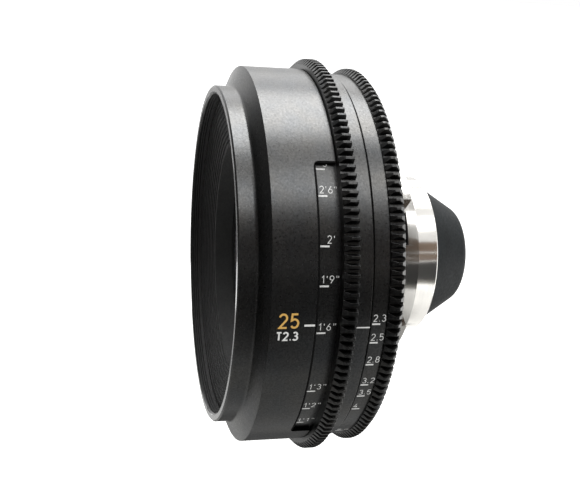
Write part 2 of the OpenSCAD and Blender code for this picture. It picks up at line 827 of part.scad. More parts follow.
module front_cell() {
    z_step = z_ring3 + cell_ring_thick;
    color([0.05, 0.05, 0.05]) lens() revolve([
        [glass1_r, z_carriage], [cell_r, z_carriage], [cell_r, z_plate], [cell_relief_r, z_plate],
        [cell_relief_r, z_step], [glass3_r, z_step], [glass3_r, z_g3_seat], [g3_seat_r, z_g3_seat],
        [g3_seat_r, z_g2_back], [glass2_r, z_g2_back], [glass2_r, z_g1_back], [glass1_r, z_g1_back]
    ]);
}

module front_retaining_ring() {
    r_in = glass1_r - lip;
    z1 = z_g1 + sag(g1_front, r_in);
    color([0.05, 0.05, 0.05]) lens() ring(r_in, glass1_r, z1 - cell_ring_thick, z1);
}

module third_retaining_ring() {
    color([0.05, 0.05, 0.05]) lens() ring(glass3_r - ring3_w, glass3_r, z_ring3, z_ring3 + cell_ring_thick);
}

module element_spacer() {
    color([0.05, 0.05, 0.05]) lens()
        ring(g1_hollow_r + spacer_inset, glass2_r, z_g1_back, z_g1_back + spacer_len);
}

// Ball of a surface whose vertex is at z and whose centre lies behind it, or ahead of it when r is negative
module ball(z, r) {
    translate([0, 0, z + r]) sphere(r = abs(r), $fn = 240);
}

// Element with a bulging front and a hollow back inside a flat rim
module meniscus(r, z0, front_r, thick, back_r, z1) {
    difference() {
        intersection() {
            disc(r, z0 - over, z1);
            ball(z0, front_r);
        }
        ball(z0 + thick, back_r);
    }
}

module front_element() {
    color([0.35, 0.45, 0.6, 0.5]) lens() meniscus(glass1_r, z_g1, g1_front, g1_thick, g1_back, z_g1_back);
}

module second_element() {
    color([0.35, 0.45, 0.6, 0.5]) lens() meniscus(glass2_r, z_g2, g2_front, g2_thick, g2_back, z_g2_back);
}

module third_element() {
    color([0.35, 0.45, 0.6, 0.5]) lens() intersection() {
        disc(glass3_r, z_g3 - over, z_g3_end + over);
        ball(z_g3, g3_front);
        ball(z_g3_end, -g3_back);
    }
}

// Rear cell and its elements
z_cell_step = z_tab_front;
rear_wall = 1.7;

module rear_cell() {
    r_tail = rear_glass_r + rear_wall;
    color([0.05, 0.05, 0.05]) lens() revolve([
        [d_seat_r, z_retainer], [rear_cell_r, z_retainer], [rear_cell_r, z_cell_step],
        [r_tail, z_cell_step], [r_tail, z_cell_end], [rear_glass_r, z_cell_end], [rear_glass_r, z_d_back],
        [doublet_r, z_d_back], [doublet_r, z_d_seat], [d_seat_r, z_d_seat]
    ]);
}

module doublet_front() {
    color([0.35, 0.45, 0.6, 0.5]) lens() intersection() {
        disc(doublet_r, z_d - over, z_d_mid + over);
        ball(z_d, d_front);
        ball(z_d_mid, -d_mid);
    }
}

module doublet_rear() {
    color([0.45, 0.4, 0.55, 0.5]) lens() difference() {
        disc(doublet_r, z_d_edge + d_edge, z_d_back);
        ball(z_d_mid, -d_mid);
    }
}

module rear_spacer() {
    r_in = rear_glass_r - lip;
    color([0.05, 0.05, 0.05]) lens() ring(r_in, rear_glass_r, z_d_back, z_r_front + sag(r_front, r_in));
}

module rear_element() {
    color([0.35, 0.45, 0.6, 0.5]) lens() intersection() {
        disc(rear_glass_r, z_r_front - over, z_r_end);
        ball(z_r_front, r_front);
    }
}

module rear_retaining_ring() {
    color([0.05, 0.05, 0.05]) lens()
        ring(rear_glass_r - lip, rear_glass_r, z_r_end, z_r_end + cell_ring_thick);
}

// Iris ring and gear
key_skin = 0.6;
key_gap = 0.4;

module iris_ring() {
    stop_margin = half_angle(stop_pin_d + 2 * slot_side, iris_stop_r);
    groove = stop_pin_d / 2 + slot_side;
    key_w = drive_pin_d + 2 * pin_clear;
    color([0.07, 0.07, 0.08]) lens() difference() {
        union() {
            ring(sleeve_in_r, hub_r, z_hub_front, z_hub_back);
            ring(hub_r - over, iris_seat_r, z_iris_web, z_iris_web_back);
            ring(iris_in_r, iris_seat_r, z_iris_gear, z_iris_back);
            revolve([
                [iris_in_r, z_iris_front], [iris_r - ring_edge, z_iris_front],
                [iris_r, z_iris_front + ring_edge], [iris_r, z_iris_gear], [iris_in_r, z_iris_gear]
            ]);
        }
        at(key_phi) translate([sleeve_in_r - over, -key_w / 2, z_hub_front - over])
            cube([hub_wall - key_skin + over, key_w, z_hub_back - z_hub_front + 2 * over]);
        arc_ring(iris_stop_r - groove, iris_stop_r + groove,
            z_iris_web_back - iris_stop_reach - slot_side, z_iris_web_back + over,
            iris_stop_phi - iris_turn - stop_margin, iris_stop_phi + stop_margin);
    }
}

module iris_gear() {
    color([0.05, 0.05, 0.05]) lens()
        gear(iris_teeth, iris_gear_r, iris_seat_r, z_iris_gear, z_iris_back, iris_gear_chamfer);
}

// Iris plate, blades, driver and retainer
driver_phi_step = 5;
lever_phi = 75;
blade_rate = blade_turn / iris_turn;
crescent_start = -3;
crescent_end = 100;
blade_arm_w = 2.4;
drive_pin_sunk = 2.5;

// Level of the front face of a blade
function blade_z(k) = z_plate + plate_thick + blade_pitch / 2 + (k - 1) * blade_pitch;

// Place of a blade's drive pin across the axis, as the iris ring turns by psi
function drive_point(k, psi) = let (phi = (k - 1) * 360 / BLADES)
    polar(pivot_r, phi) + polar(lever_len, phi + lever_phi + psi * blade_rate);

// The same point as the turning driver sees it
function slot_point(k, psi) = let (p = drive_point(k, psi))
    polar(norm(p), atan2(p[1], p[0]) - psi);

// Lays a flat outline, drawn with angles measured upwards, across the axis
module flat(z0, z1) {
    translate([0, 0, z0]) linear_extrude(z1 - z0) mirror([0, 1]) children();
}

// One spiral slot of the driver, as an outline around its centre line
module slot_outline(k) {
    half_w = blade_pin_d / 2 + pin_clear;
    turns = [-driver_phi_step / 2 : driver_phi_step : iris_turn + driver_phi_step];
    line = [for (psi = turns) slot_point(k, psi)];
    count = len(line);
    function along(i) = line[min(i + 1, count - 1)] - line[max(i - 1, 0)];
    function side(i) = let (d = along(i)) [-d[1], d[0]] * half_w / norm(d);
    polygon(concat(
        [for (i = [0 : count - 1]) line[i] + side(i)],
        [for (i = [count - 1 : -1 : 0]) line[i] - side(i)]
    ));
}

module iris_plate() {
    color([0.04, 0.04, 0.04]) lens() difference() {
        ring(plate_hole_r, cell_r, z_plate, z_plate + plate_thick);
        around(BLADES) translate([pivot_r, 0, z_plate - cut])
            cylinder(d = blade_pin_d + 2 * run_clear, h = plate_thick + 2 * cut);
    }
}

module iris_driver() {
    color("silver") lens() difference() {
        ring(driver_in_r, driver_r, z_driver, z_driver + driver_thick);
        flat(z_driver - cut, z_driver + driver_thick + cut) {
            for (k = [1 : BLADES]) {
                slot_outline(k);
            }
        }
        at(key_phi) radial_rod(drive_pin_d, driver_r - drive_pin_sunk, driver_r + over, z_key);
    }
}

module iris_drive_pin() {
    color("silver") lens() at(key_phi)
        radial_rod(drive_pin_d, driver_r - drive_pin_sunk, hub_r - key_skin - key_gap, z_key);
}

module driver_retainer() {
    color([0.05, 0.05, 0.05]) lens() ring(rear_cell_r, cell_r, z_retainer, z_carriage_back);
}

module iris_blade(k) {
    z0 = blade_z(k);
    z1 = z0 + blade_thick;
    pivot = [pivot_r, 0];
    pin = pivot + polar(lever_len, lever_phi);
    color([0.12, 0.12, 0.13]) lens() at((k - 1) * 360 / BLADES) {
        arc_ring(aperture_r, blade_outer_r, z0, z1, crescent_start, crescent_end);
        flat(z0, z1) {
            translate(pivot) circle(d = blade_arm_w);
            translate(pin) circle(d = blade_arm_w);
            translate([blade_outer_r - over, -blade_arm_w / 2])
                square([pivot_r - blade_outer_r + over, blade_arm_w]);
            translate(pivot) rotate(lever_phi) translate([0, -blade_arm_w / 2])
                square([lever_len, blade_arm_w]);
        }
        flat(z_plate, z1) translate(pivot) circle(d = blade_pin_d);
        flat(z0, z_driver + driver_thick) translate(pin) circle(d = blade_pin_d);
    }
}

front_ring();
front_baffle();
front_housing();
front_housing_screws();
main_barrel();
focus_thrust_washer();
focus_stop_pin();
index_ring();
index_ring_screws();
iris_thrust_washer();
iris_stop_pin();
rear_cover();
rear_cover_screws();
back_focus_shim();
mount_flange();
mount_screws();
rear_baffle();
focus_ring();
focus_gear();
focus_cam_sleeve();
focus_ring_screws();
carriage();
cam_followers();
front_cell();
front_element();
front_retaining_ring();
second_element();
element_spacer();
third_element();
third_retaining_ring();
iris_plate();
driver_retainer();
rear_cell();
doublet_front();
doublet_rear();
rear_spacer();
rear_element();
rear_retaining_ring();
iris_ring();
iris_gear();
iris_driver();
iris_drive_pin();
iris_blade(1);  // iris_blade_1
iris_blade(2);  // iris_blade_2
iris_blade(3);  // iris_blade_3
iris_blade(4);  // iris_blade_4
iris_blade(5);  // iris_blade_5
iris_blade(6);  // iris_blade_6
iris_blade(7);  // iris_blade_7
iris_blade(8);  // iris_blade_8
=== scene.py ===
"""Looks of the cinema prime lens: finishes, engraved scales, studio and camera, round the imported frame.

The optical axis is Y and the front rim faces -Y. Angles round the axis (phi) are measured upwards from +X.
"""

import json
import math

import bmesh
import bpy
import numpy as np
from mathutils import Matrix, Vector

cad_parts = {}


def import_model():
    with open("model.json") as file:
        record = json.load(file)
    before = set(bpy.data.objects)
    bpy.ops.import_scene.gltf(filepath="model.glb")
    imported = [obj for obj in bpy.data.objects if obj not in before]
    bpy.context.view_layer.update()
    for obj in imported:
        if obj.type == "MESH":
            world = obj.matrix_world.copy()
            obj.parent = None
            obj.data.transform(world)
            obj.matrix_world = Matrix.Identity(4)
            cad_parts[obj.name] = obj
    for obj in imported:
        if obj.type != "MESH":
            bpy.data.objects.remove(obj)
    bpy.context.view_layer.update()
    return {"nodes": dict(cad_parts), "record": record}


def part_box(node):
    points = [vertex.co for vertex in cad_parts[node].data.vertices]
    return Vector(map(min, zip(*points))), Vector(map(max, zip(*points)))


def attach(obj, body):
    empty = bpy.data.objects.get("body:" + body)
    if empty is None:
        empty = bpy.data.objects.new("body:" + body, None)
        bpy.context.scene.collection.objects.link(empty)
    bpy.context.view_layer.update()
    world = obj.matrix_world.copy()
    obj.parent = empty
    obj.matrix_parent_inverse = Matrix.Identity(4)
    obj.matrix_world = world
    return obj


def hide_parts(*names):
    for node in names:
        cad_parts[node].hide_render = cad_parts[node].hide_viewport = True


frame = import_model()
NODES = frame["nodes"]
MM = 0.001
SEGMENTS = 384


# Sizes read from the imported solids

SAME_STATION = 0.02 * MM


def cad_points(node):
    """Every vertex of a CAD node as (radius from the axis, station along it)."""
    return np.array([(math.hypot(v.co.x, v.co.z), v.co.y) for v in NODES[node].data.vertices])


def outer_radius(node):
    return float(cad_points(node)[:, 0].max())


def inner_radius(node):
    return float(cad_points(node)[:, 0].min())


def radius_at(node, y, inner=False):
    """The largest, or smallest, radius of a CAD node at a station."""
    points = cad_points(node)
    near = points[np.abs(points[:, 1] - y) < SAME_STATION, 0]
    return float(near.min() if inner else near.max())


def span(node):
    """First and last station of a CAD node along the axis."""
    low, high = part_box(node)
    return low.y, high.y


# Meshes

def bend(start, corner, end, steps=6):
    """Points on a smooth curve from start to end that leaves and arrives along the corner's sides."""
    curve = []
    for k in range(steps + 1):
        t = k / steps
        curve.append(tuple((1 - t) ** 2 * start + 2 * t * (1 - t) * corner + t ** 2 * end))
    return curve


def new_object(name, verts, faces):
    mesh = bpy.data.meshes.new(name)
    mesh.from_pydata([tuple(v) for v in verts], [], faces)
    mesh.validate()
    mesh.update()
    obj = bpy.data.objects.new(name, mesh)
    bpy.context.scene.collection.objects.link(obj)
    return obj


def face_outwards(obj):
    """Makes the faces of a closed mesh point out of it."""
    work = bmesh.new()
    work.from_mesh(obj.data)
    bmesh.ops.recalc_face_normals(work, faces=work.faces)
    work.to_mesh(obj.data)
    work.free()


def smooth(obj, sharp_angle=30):
    """Smooth shading that keeps sharp edges sharp."""
    obj.data.shade_smooth()
    obj.data.set_sharp_from_angle(angle=math.radians(sharp_angle))


def sweep(outline, angles, full_turn, side=1):
    """Corners and faces of a closed (r, y) outline swept round the axis, with ends if it stops short."""
    count = len(outline)
    stops = len(angles)
    verts = []
    for a in angles:
        verts += [(side * r * math.cos(a), y, r * math.sin(a)) for r, y in outline]
    faces = []
    for i in range(stops if full_turn else stops - 1):
        j = (i + 1) % stops
        for k in range(count):
            m = (k + 1) % count
            faces.append((i * count + k, i * count + m, j * count + m, j * count + k))
    if not full_turn:
        faces += [tuple(range(count)), tuple(range(len(verts) - count, len(verts)))]
    return verts, faces


def lathe(name, outline):
    """Revolves a closed (r, y) outline about the optical axis."""
    angles = [2 * math.pi * i / SEGMENTS for i in range(SEGMENTS)]
    obj = new_object(name, *sweep(outline, angles, full_turn=True))
    face_outwards(obj)
    smooth(obj)
    return obj


def break_edges(node, width, angle=28):
    """Turns the sharp edges of a CAD node into fine bevels, which catch the light."""
    obj = NODES[node]
    weld = obj.modifiers.new("weld", "WELD")
    weld.merge_threshold = 0.002 * MM
    bevel = obj.modifiers.new("edges", "BEVEL")
    bevel.width = width
    bevel.segments = 2
    bevel.limit_method = "ANGLE"
    bevel.angle_limit = math.radians(angle)
    weighted = obj.modifiers.new("weighted_normals", "WEIGHTED_NORMAL")
    weighted.weight = 100


# Parts of materials

def material(name, colour, roughness, metallic=0.0):
    """A new node material and its parts: the tree, the shader and the object coordinates."""
    result = bpy.data.materials.new(name)
    result.use_nodes = True
    tree = result.node_tree
    shader = tree.nodes["Principled BSDF"]
    shader.inputs["Base Color"].default_value = (*colour, 1)
    shader.inputs["Roughness"].default_value = roughness
    shader.inputs["Metallic"].default_value = metallic
    coordinates = tree.nodes.new("ShaderNodeTexCoord")
    return result, tree, shader, coordinates.outputs["Object"]


def scaled(colour, factor):
    return tuple(factor * c for c in colour)


def noise(tree, vector, size, detail=3.0):
    """Noise with features of about the given size in metres."""
    node = tree.nodes.new("ShaderNodeTexNoise")
    node.inputs["Scale"].default_value = 1 / size
    node.inputs["Detail"].default_value = detail
    tree.links.new(vector, node.inputs["Vector"])
    return node.outputs["Fac"]


def ramp(tree, value, low, high, socket, first=0.3, last=0.7):
    """Maps a value in 0..1 to numbers or colours between low and high, into a shader socket."""
    node = tree.nodes.new("ShaderNodeValToRGB")
    ends = node.color_ramp.elements
    for end, place, value_at_end in ((ends[0], first, low), (ends[1], last, high)):
        end.position = place
        colour = value_at_end if isinstance(value_at_end, tuple) else (value_at_end,) * 3
        end.color = (*colour, 1)
    tree.links.new(value, node.inputs["Fac"])
    tree.links.new(node.outputs["Color"], socket)


def product(tree, socket):
    """Two colour sockets whose product goes into a shader socket."""
    node = tree.nodes.new("ShaderNodeMixRGB")
    node.blend_type = "MULTIPLY"
    node.inputs["Fac"].default_value = 1.0
    tree.links.new(node.outputs["Color"], socket)
    return node.inputs["Color1"], node.inputs["Color2"]


def bump(tree, shader, height, strength, distance):
    node = tree.nodes.new("ShaderNodeBump")
    node.inputs["Strength"].default_value = strength
    node.inputs["Distance"].default_value = distance
    tree.links.new(height, node.inputs["Height"])
    tree.links.new(node.outputs["Normal"], shader.inputs["Normal"])


def around_axis(tree, vector):
    """Coordinates (radius, station, 0), so that a pattern runs round the axis, and the radius by itself."""
    split = tree.nodes.new("ShaderNodeSeparateXYZ")
    flat = tree.nodes.new("ShaderNodeCombineXYZ")
    length = tree.nodes.new("ShaderNodeVectorMath")
    length.operation = "LENGTH"
    join = tree.nodes.new("ShaderNodeCombineXYZ")
    radius = length.outputs["Value"]
    tree.links.new(vector, split.inputs["Vector"])
    tree.links.new(split.outputs["X"], flat.inputs["X"])
    tree.links.new(split.outputs["Z"], flat.inputs["Z"])
    tree.links.new(flat.outputs["Vector"], length.inputs[0])
    tree.links.new(radius, join.inputs["X"])
    tree.links.new(split.outputs["Y"], join.inputs["Y"])
    return join.outputs["Vector"], radius


def beyond(tree, value, limit, blend=0.5 * MM):
    """0 below a limit and 1 above it, with a short blend between."""
    node = tree.nodes.new("ShaderNodeMapRange")
    node.inputs["From Min"].default_value = limit - blend
    node.inputs["From Max"].default_value = limit + blend
    tree.links.new(value, node.inputs["Value"])
    return node.outputs["Result"]


# Materials

def anodised(name, level, roughness, grain=0.22 * MM, grain_strength=0.25, speckle=0.3):
    """Satin black anodised aluminium: a dark metal with a blasted grain and a speckle of lighter points."""
    result, tree, shader, place = material(name, (level,) * 3, roughness, metallic=1.0)
    cool = (level * 0.94, level * 0.97, level)
    warm = (level * 1.1, level * 1.08, level * 1.04)
    patches = noise(tree, place, 9 * MM)
    specks = noise(tree, place, 0.6 * MM, detail=2.0)
    wear = noise(tree, place, 0.5 * MM)
    blasting = noise(tree, place, grain, detail=2.0)
    tone, points = product(tree, shader.inputs["Base Color"])
    ramp(tree, patches, cool, warm, tone)
    ramp(tree, specks, 1 - speckle, 1.0, points)
    ramp(tree, wear, roughness - 0.05, roughness + 0.06, shader.inputs["Roughness"])
    bump(tree, shader, blasting, grain_strength, distance=0.02 * MM)
    return result


def turned(name, colour, roughness, pitch=0.12 * MM, strength=0.35, darker_beyond=None):
    """Bare metal with the fine rings that a lathe tool leaves, its colour darker beyond a given radius."""
    result, tree, shader, place = material(name, colour, roughness, metallic=1.0)
    turning, radius = around_axis(tree, place)
    rings = noise(tree, turning, pitch, detail=4.0)
    patches = noise(tree, place, 6 * MM)
    base = shader.inputs["Base Color"]
    if darker_beyond:
        base, darkening = product(tree, base)
        ramp(tree, beyond(tree, radius, darker_beyond), 1.0, 0.62, darkening)
    ramp(tree, patches, scaled(colour, 0.88), colour, base)
    ramp(tree, rings, roughness - 0.06, roughness + 0.08, shader.inputs["Roughness"])
    bump(tree, shader, rings, strength, distance=0.008 * MM)
    return result


def matte(name, level, roughness, grain=0.3 * MM, gloss=0.5, tint=(1, 1, 1)):
    """Flat black paint or flocked anodising that stops stray light, and the black of the painted shade at
    the scale windows.
    """
    dark = scaled(tint, level * 0.85)
    light = scaled(tint, level * 1.2)
    result, tree, shader, place = material(name, light, roughness)
    shader.inputs["Specular IOR Level"].default_value = gloss
    patches = noise(tree, place, 4 * MM)
    wear = noise(tree, place, 0.8 * MM)
    flock = noise(tree, place, grain, detail=2.0)
    ramp(tree, patches, dark, light, shader.inputs["Base Color"])
    ramp(tree, wear, roughness - 0.08, roughness + 0.08, shader.inputs["Roughness"])
    bump(tree, shader, flock, strength=0.3, distance=0.03 * MM)
    return result


def paint(name, colour, roughness=0.55):
    """Paint that fills the engraved marks, a little uneven."""
    result, tree, shader, place = material(name, colour, roughness)
    cover = noise(tree, place, 0.7 * MM)
    ramp(tree, cover, scaled(colour, 0.86), colour, shader.inputs["Base Color"])
    return result


def coated_glass(name, tint, film):
    """Clear optical glass under an anti-reflection film, whose thickness in nanometres sets its colour."""
    result, tree, shader, place = material(name, tint, roughness=0.0)
    shader.inputs["Transmission Weight"].default_value = 1.0
    shader.inputs["IOR"].default_value = 1.62
    shader.inputs["Thin Film Thickness"].default_value = film
    shader.inputs["Thin Film IOR"].default_value = 1.38
    haze = noise(tree, place, 2 * MM)
    ramp(tree, haze, 0.0, 0.02, shader.inputs["Roughness"])
    return result


FINISHES = {
    "anodised": anodised("black_anodised", level=0.095, roughness=0.31, grain=0.3 * MM, grain_strength=0.3),
    "gear_black": anodised("gear_anodised", level=0.06, roughness=0.34, grain=0.15 * MM),
    "matte_black": matte("matte_black", level=0.012, roughness=0.7),
    "baffle_black": matte("baffle_black", level=0.016, roughness=0.55, gloss=0.2, tint=(0.85, 1.0, 1.08)),
    "stainless": turned("turned_stainless", (0.84, 0.82, 0.78), roughness=0.13, darker_beyond=29 * MM),
    "bare_aluminium": turned("turned_aluminium", (0.68, 0.69, 0.70), roughness=0.3),
    "brass": turned("turned_brass", (0.72, 0.55, 0.26), roughness=0.28),
    "steel": turned("ground_steel", (0.58, 0.58, 0.58), roughness=0.25),
    "screw_black": anodised("black_oxide", level=0.1, roughness=0.3),
    "blade": anodised("blackened_spring_steel", level=0.12, roughness=0.42, grain=0.4 * MM),
    "glass": coated_glass("coated_glass", (0.96, 0.98, 1.0), film=420),
}
MACHINED = anodised("machined_anodised", level=0.16, roughness=0.14, grain_strength=0.05)
# Painted highlight: a lighter anodised grey for the iris gear's rear chamfers, standing in for their
# reflection of the bright surround
CHAMFER_HIGHLIGHT = anodised("painted_chamfer_highlight", level=0.21, roughness=0.4, grain_strength=0.1)
# Painted shade: a near-black for the strips and pads that stand in for the shade at the scale windows
SHADE_BLACK = matte("painted_shade_black", level=0.006, roughness=0.9, gloss=0.1)
WHITE = paint("white_fill", (0.98, 0.98, 0.96))
AMBER = paint("amber_fill", (0.9, 0.53, 0.13))

for part in frame["record"]["subparts"]:
    node = NODES[part["node"]]
    node.data.materials.clear()
    node.data.materials.append(FINISHES[part["material_slot"]])


def dress(obj, finish, body):
    """Gives a new piece its finish and the body that it moves with."""
    obj.data.materials.append(finish)
    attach(obj, body)


# Fine edges on the CAD pieces that show, with the width of each in millimetres

EDGES = {
    "front_housing": 0.15, "focus_ring": 0.1, "index_ring": 0.08, "iris_ring": 0.08, "rear_cover": 0.15,
    "focus_gear": 0.07, "iris_gear": 0.07, "mount_flange": 0.4, "front_baffle": 0.06,
}
for name, width in EDGES.items():
    break_edges(name, width * MM)


# Front ring with its filter thread, blended into the cone behind it

CONE_LENGTH = 2.2 * MM
CONE_LEAD = 0.55 * MM
CONE_SHARE = 0.97
FILLET = 0.9 * MM
RIM_EDGE = 0.15 * MM
RIM_CHAMFER = 0.45 * MM
THREAD_PITCH = 0.75 * MM
THREAD_DEPTH = 0.22 * MM
THREAD_LEAD = 0.6 * MM
SLEEVE_WALL = 0.5 * MM


def filter_thread(bore_r, start, end):
    """Ridges and grooves along a bore, between two stations."""
    points = []
    y = start + THREAD_PITCH / 2
    while y + THREAD_PITCH < end:
        points += [(bore_r, y), (bore_r + THREAD_DEPTH, y + THREAD_PITCH / 2)]
        y += THREAD_PITCH
    return points


def front_ring():
    """The ring's body, the sleeve that holds the thread, and the bright face of the rim."""
    rim, seat_end = span("front_ring")
    root, housing_end = span("front_housing")
    step = span("front_baffle")[0]
    out_r = outer_radius("front_ring")
    bore_r = radius_at("front_ring", rim, inner=True)
    seat_r = inner_radius("front_ring")
    spigot_r = radius_at("front_ring", seat_end)
    body_r = radius_at("front_housing", housing_end)
    land_r = out_r - RIM_CHAMFER
    lead_r = bore_r + THREAD_LEAD
    sleeve_r = bore_r + SLEEVE_WALL
    sleeve_start = rim + THREAD_LEAD
    face_back = rim + RIM_EDGE

    corner = Vector((out_r, root - CONE_LEAD))
    cone = Vector((body_r, root + CONE_LENGTH)) - corner
    fillet = bend(corner - Vector((0, FILLET)), corner, corner + cone.normalized() * FILLET)
    obj = lathe("front_ring_threaded", [
        (lead_r - RIM_EDGE, face_back), (land_r - RIM_EDGE, face_back), (land_r, rim),
        (out_r, rim + RIM_CHAMFER), *fillet, tuple(corner + CONE_SHARE * cone), (out_r, root),
        (spigot_r, root), (spigot_r, seat_end), (seat_r, seat_end), (seat_r, step),
        (sleeve_r, step), (sleeve_r, sleeve_start), (bore_r, sleeve_start),
    ])
    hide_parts("front_ring")
    dress(obj, FINISHES["anodised"], "housing")

    sleeve = lathe("front_ring_thread", [
        (bore_r, sleeve_start), *filter_thread(bore_r, sleeve_start, step),
        (bore_r, step), (sleeve_r, step), (sleeve_r, sleeve_start),
    ])
    dress(sleeve, FINISHES["matte_black"], "housing")

    face = lathe("front_ring_face", [
        (lead_r, rim), (land_r, rim), (land_r - RIM_EDGE, face_back), (lead_r - RIM_EDGE, face_back),
    ])
    dress(face, MACHINED, "housing")


front_ring()


# Rear baffle with its smooth nose

NOSE_R = 17.5 * MM
NOSE_ROUND = 5 * MM
NOSE_POINTS = 25
NOSE_LIP = 0.8 * MM
BASE_LAND = 0.6 * MM
BASE_INSET = 1.3 * MM


def rear_baffle():
    start, end = span("rear_baffle")
    spigot_r = radius_at("rear_baffle", start)
    inside_r = radius_at("rear_baffle", start, inner=True)
    hole_r = inner_radius("rear_baffle")
    base_r = outer_radius("rear_baffle") - BASE_INSET
    base_y = span("mount_flange")[1]
    centre = Vector((NOSE_R - NOSE_ROUND, end - NOSE_ROUND))
    to_base = Vector((base_r, base_y + BASE_LAND)) - centre
    tangent = math.atan2(to_base.y, to_base.x) + math.acos(NOSE_ROUND / to_base.length)
    nose = [
        (centre.x + NOSE_ROUND * math.cos(a), centre.y + NOSE_ROUND * math.sin(a))
        for a in np.linspace(tangent, math.pi / 2, NOSE_POINTS)
    ]
    obj = lathe("rear_baffle_nose", [
        (inside_r, start), (spigot_r, start), (spigot_r, base_y), (base_r, base_y),
        (base_r, base_y + BASE_LAND), *nose, (hole_r, end), (hole_r, end - NOSE_LIP),
    ])
    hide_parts("rear_baffle")
    dress(obj, FINISHES["baffle_black"], "housing")


rear_baffle()


# Painted highlight: a lighter skin on the chamfers at the rear ends of the iris gear's teeth, standing in
# for their reflection of the bright surround

def chamfer_highlights(lift=0.015 * MM, slant=0.3):
    """A lighter skin over the gear's faces that slant both outwards and to the rear, painting the highlight
    that they catch.
    """
    verts = []
    faces = []
    gear = NODES["iris_gear"].data
    for face in gear.polygons:
        centre = face.center
        outward = (centre.x * face.normal.x + centre.z * face.normal.z) / math.hypot(centre.x, centre.z)
        if outward > slant and face.normal.y > slant:
            base = len(verts)
            verts += [gear.vertices[i].co + face.normal * lift for i in face.vertices]
            faces.append(tuple(range(base, len(verts))))
    dress(new_object("iris_gear_chamfer_highlights", verts, faces), CHAMFER_HIGHLIGHT, "iris")


chamfer_highlights()


# Painted shade: black strips along the front edge and black pads at the upper end of each scale window, laid
# where shade falls on the drum

SHADE_STRIP_WIDTH = 0.55 * MM
SHADE_PAD = 1.25 * MM
SHADE_CLEARANCE = 0.25 * MM
SHADE_BELOW = 0.12 * MM
SHADE_STEPS = 60
PAD_STEPS = 4
WINDOW_FRONT = (-43 * MM, -40 * MM)
SAME_EDGE = 0.01 * MM


def window_shade_strips():
    """A black strip and end pad of painted shade for each window, between the drum and the surface of the
    body.
    """
    rear = span("front_housing")[1]
    body_r = radius_at("front_housing", rear)
    drum_r = radius_at("focus_ring", span("focus_ring")[0])
    low = drum_r + SHADE_CLEARANCE
    high = body_r - SHADE_BELOW
    points = np.array([v.co for v in NODES["front_housing"].data.vertices])
    radius = np.hypot(points[:, 0], points[:, 2])
    shell = points[(radius > drum_r) & (radius < body_r + SHADE_BELOW)]
    edges = shell[(shell[:, 1] > WINDOW_FRONT[0]) & (shell[:, 1] < WINDOW_FRONT[1])]
    edge = float(edges[:, 1].min())
    on_edge = np.abs(edges[:, 1] - edge) < SAME_EDGE
    strip = [(low, edge), (high, edge), (high, edge + SHADE_STRIP_WIDTH), (low, edge + SHADE_STRIP_WIDTH)]
    pad = [(low, edge), (high, edge), (high, rear), (low, rear)]
    for name, side in (("window_shade_near", 1), ("window_shade_far", -1)):
        here = edges[:, 0] * side > 0
        angles = np.arctan2(edges[:, 2], edges[:, 0] * side)
        along = angles[here & on_edge]
        top = angles[here].max()
        strip_angles = np.linspace(along.min(), along.max(), SHADE_STEPS + 1)
        pad_angles = np.linspace(top - SHADE_PAD / body_r, top, PAD_STEPS + 1)
        verts, faces = sweep(strip, strip_angles, full_turn=False, side=side)
        pad_verts, pad_faces = sweep(pad, pad_angles, full_turn=False, side=side)
        faces += [tuple(len(verts) + k for k in face) for face in pad_faces]
        obj = new_object(name, verts + pad_verts, faces)
        face_outwards(obj)
        dress(obj, SHADE_BLACK, "housing")


window_shade_strips()


# Engraved scales, drawn with strokes of one width

def arc(x, y, rx, ry, start, end, steps=14):
    """Points on an ellipse from one angle to another, in degrees."""
    angles = [math.radians(start + (end - start) * k / steps) for k in range(steps + 1)]
    return [(x + rx * math.cos(a), y + ry * math.sin(a)) for a in angles]


ZERO = arc(0.28, 0.71, 0.27, 0.29, 0, 180) + arc(0.28, 0.29, 0.27, 0.29, 180, 360) + [(0.55, 0.71)]
SIX = [(0.41, 1.0), (0.06, 0.44)]
SIX_BOWL = arc(0.28, 0.29, 0.27, 0.29, 145, 505, 28)
INFINITY = [
    (0.55 + 0.5 * math.cos(a) / (1 + math.sin(a) ** 2),
     0.45 + 0.75 * math.sin(a) * math.cos(a) / (1 + math.sin(a) ** 2))
    for a in np.radians(np.linspace(0, 360, 49))
]

# Each glyph: its width and its strokes, for letters of height 1
GLYPHS = {
    "0": (0.56, [ZERO]),
    "1": (0.34, [[(0.02, 0.76), (0.26, 1.0), (0.26, 0.0)]]),
    "2": (0.56, [arc(0.28, 0.72, 0.26, 0.28, 165, -30) + [(0.03, 0.0), (0.55, 0.0)]]),
    "3": (0.54, [arc(0.26, 0.76, 0.23, 0.24, 150, -75) + arc(0.27, 0.265, 0.27, 0.265, 75, -150)]),
    "4": (0.58, [[(0.34, 1.0), (0.02, 0.24), (0.56, 0.24)], [(0.42, 0.5), (0.42, 0.0)]]),
    "5": (0.55, [[(0.5, 1.0), (0.09, 1.0), (0.06, 0.54)] + arc(0.27, 0.315, 0.27, 0.315, 128, -145)]),
    "6": (0.56, [SIX, SIX_BOWL]),
    "8": (0.56, [arc(0.28, 0.76, 0.22, 0.24, -90, 270, 28), arc(0.28, 0.26, 0.27, 0.26, 90, 450, 28)]),
    "9": (0.56, [[(0.56 - x, 1 - y) for x, y in stroke] for stroke in (SIX, SIX_BOWL)]),
    "T": (0.56, [[(0.0, 1.0), (0.56, 1.0)], [(0.28, 1.0), (0.28, 0.0)]]),
    ".": (0.12, [[(0.0, 0.05), (0.12, 0.05)]]),
    "'": (0.08, [[(0.04, 1.0), (0.04, 0.72)]]),
    "\"": (0.34, [[(0.04, 1.0), (0.04, 0.72)], [(0.3, 1.0), (0.3, 0.72)]]),
    "~": (1.1, [INFINITY]),
}


def facing(far_side):
    """Where the marks of a side start from, in degrees, and which way its words run and rise."""
    return (180, -1) if far_side else (0, 1)


